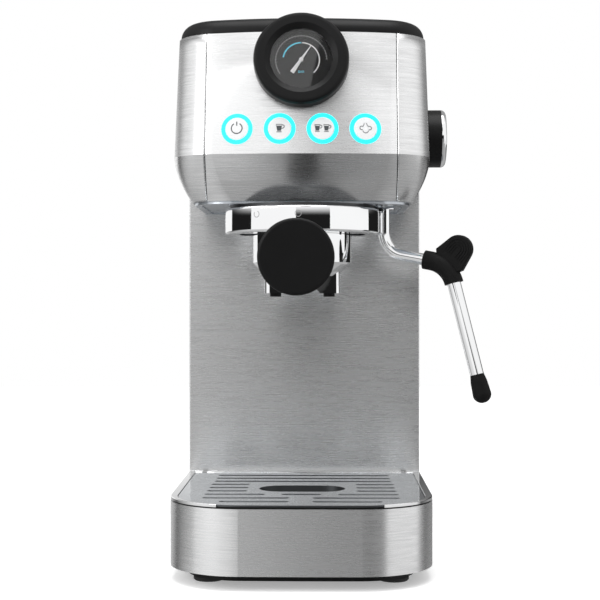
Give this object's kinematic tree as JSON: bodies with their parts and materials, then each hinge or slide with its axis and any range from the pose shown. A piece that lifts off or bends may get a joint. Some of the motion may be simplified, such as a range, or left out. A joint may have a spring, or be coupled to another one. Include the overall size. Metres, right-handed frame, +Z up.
{
  "type": "espresso machine",
  "caption": "Slim brushed steel pump espresso machine with a round pressure gauge, lit push buttons, a portafilter, a swivelling steam wand and a slide-out drip tray.",
  "frame": {"origin": "on the worktop, in the middle of the body's footprint: on its left-right centre plane and halfway between the drip tray's front and the rear plinth's back", "axes": "+Z up from the worktop, +X to the right of a user facing the machine, -Y towards the user, so +Y is to the back"},
  "size_m": [0.1865, 0.4429, 0.3235],
  "materials": {
    "brushed_steel": "horizontal brushed grain",
    "tray_steel": "satin, almost mirror smooth",
    "satin_metal": "smooth satin",
    "chrome": "mirror polish",
    "black_plastic": "fine matt grain",
    "soft_black": "soft matt",
    "rubber": "matt",
    "silicone": "translucent satin",
    "button_face": "satin silver",
    "light_ring": "lit cyan diffuser",
    "dial": "dark grey print",
    "needle": "white enamel",
    "glass": "clear",
    "tank_plastic": "smoky clear plastic",
    "cast_aluminium": "as cast",
    "brass": "turned",
    "plain_steel": "drawn",
    "circuit_green": "lacquered board",
    "housing_plastic": "moulded"
  },
  "bodies": {
    "machine": {"base_plate": "black_plastic", "feet": "rubber", "column_casing": "brushed_steel", "chassis": "housing_plastic", "rear_cover": "black_plastic", "cord_gland": "rubber", "case_screws": "plain_steel", "head_front_panel": "brushed_steel", "head_side_left": "brushed_steel", "head_side_right": "brushed_steel", "top_cover": "black_plastic", "cup_warmer_plate": "tray_steel", "head_underside": "satin_metal", "gauge_bezel": "black_plastic", "gauge_dial": "dial", "gauge_glass": "glass", "gauge_movement": "brass", "button_light_rings": "light_ring", "control_board": "circuit_green", "button_switches": "housing_plastic", "group_collar": "chrome", "group_head": "cast_aluminium", "group_gasket": "rubber", "shower_screen": "plain_steel", "thermoblock": "cast_aluminium", "thermostats": "housing_plastic", "pump": "housing_plastic", "pump_mounts": "rubber", "solenoid_valve": "housing_plastic", "steam_valve": "brass", "steam_tube": "plain_steel", "suction_hose": "silicone", "pressure_tube": "silicone", "tank_seat": "housing_plastic", "wand_socket": "chrome"},
    "knob": {"steam_knob": "black_plastic", "steam_knob_ring": "chrome", "steam_spindle": "brass"},
    "wand": {"wand_pipe": "chrome", "wand_grip": "soft_black", "wand_sleeve": "chrome", "wand_tip": "soft_black"},
    "filter_holder": {"portafilter_body": "chrome", "filter_basket": "plain_steel", "spout_block": "chrome", "spout_tips": "soft_black", "handle_ferrule": "chrome", "portafilter_handle": "black_plastic"},
    "tray": {"drip_band": "brushed_steel", "drip_tub": "black_plastic", "tray_rails": "chrome"},
    "grid": {"drip_grid": "tray_steel"},
    "tank": {"water_tank": "tank_plastic", "tank_valve": "housing_plastic"},
    "lid": {"tank_lid": "black_plastic"},
    "needle": {"gauge_needle": "needle"},
    "power_key": {"button_power": "button_face"},
    "one_cup_key": {"button_one_cup": "button_face"},
    "two_cups_key": {"button_two_cups": "button_face"},
    "steam_key": {"button_steam": "button_face"}
  },
  "joints": [
    {"name": "tray_slide", "type": "slide", "parent": "machine", "child": "tray", "axis": [0, -1, 0], "range_m": [0, 0.14]},
    {"name": "grid_lift", "type": "slide", "parent": "tray", "child": "grid", "axis": [0, 0, 1], "range_m": [0, 0.03]},
    {"name": "tank_lift", "type": "slide", "parent": "machine", "child": "tank", "axis": [0, 0, 1], "range_m": [0, 0.25]},
    {"name": "lid_hinge", "type": "hinge", "parent": "tank", "child": "lid", "pos_m": [0, 0.1615, 0.3125], "axis": [-1, 0, 0], "range_deg": [0, 100]},
    {"name": "knob_turn", "type": "hinge", "parent": "machine", "child": "knob", "pos_m": [0.08, -0.065, 0.258], "axis": [1, 0, 0], "range_deg": [0, 270]},
    {"name": "wand_swivel", "type": "hinge", "parent": "machine", "child": "wand", "pos_m": [0.0493, -0.08, 0.21], "axis": [0, 0, 1], "range_deg": [-70, 40]},
    {"name": "holder_twist", "type": "hinge", "parent": "machine", "child": "filter_holder", "pos_m": [0, -0.09, 0.2], "axis": [0, 0, 1], "range_deg": [-40, 0]},
    {"name": "needle_turn", "type": "hinge", "parent": "machine", "child": "needle", "pos_m": [0, -0.12439, 0.2956], "axis": [0, -0.9827, 0.1853], "range_deg": [-100, 155]},
    {"name": "power_press", "type": "slide", "parent": "machine", "child": "power_key", "axis": [0.1081, 0.9736, -0.2012], "range_m": [0, 0.0008], "stiffness_N_per_m": 900, "springref_m": -0.002},
    {"name": "one_cup_press", "type": "slide", "parent": "machine", "child": "one_cup_key", "axis": [0.0362, 0.9817, -0.187], "range_m": [0, 0.0008], "stiffness_N_per_m": 900, "springref_m": -0.002},
    {"name": "two_cups_press", "type": "slide", "parent": "machine", "child": "two_cups_key", "axis": [-0.0362, 0.9817, -0.187], "range_m": [0, 0.0008], "stiffness_N_per_m": 900, "springref_m": -0.002},
    {"name": "steam_press", "type": "slide", "parent": "machine", "child": "steam_key", "axis": [-0.1081, 0.9736, -0.2012], "range_m": [0, 0.0008], "stiffness_N_per_m": 900, "springref_m": -0.002}
  ]
}
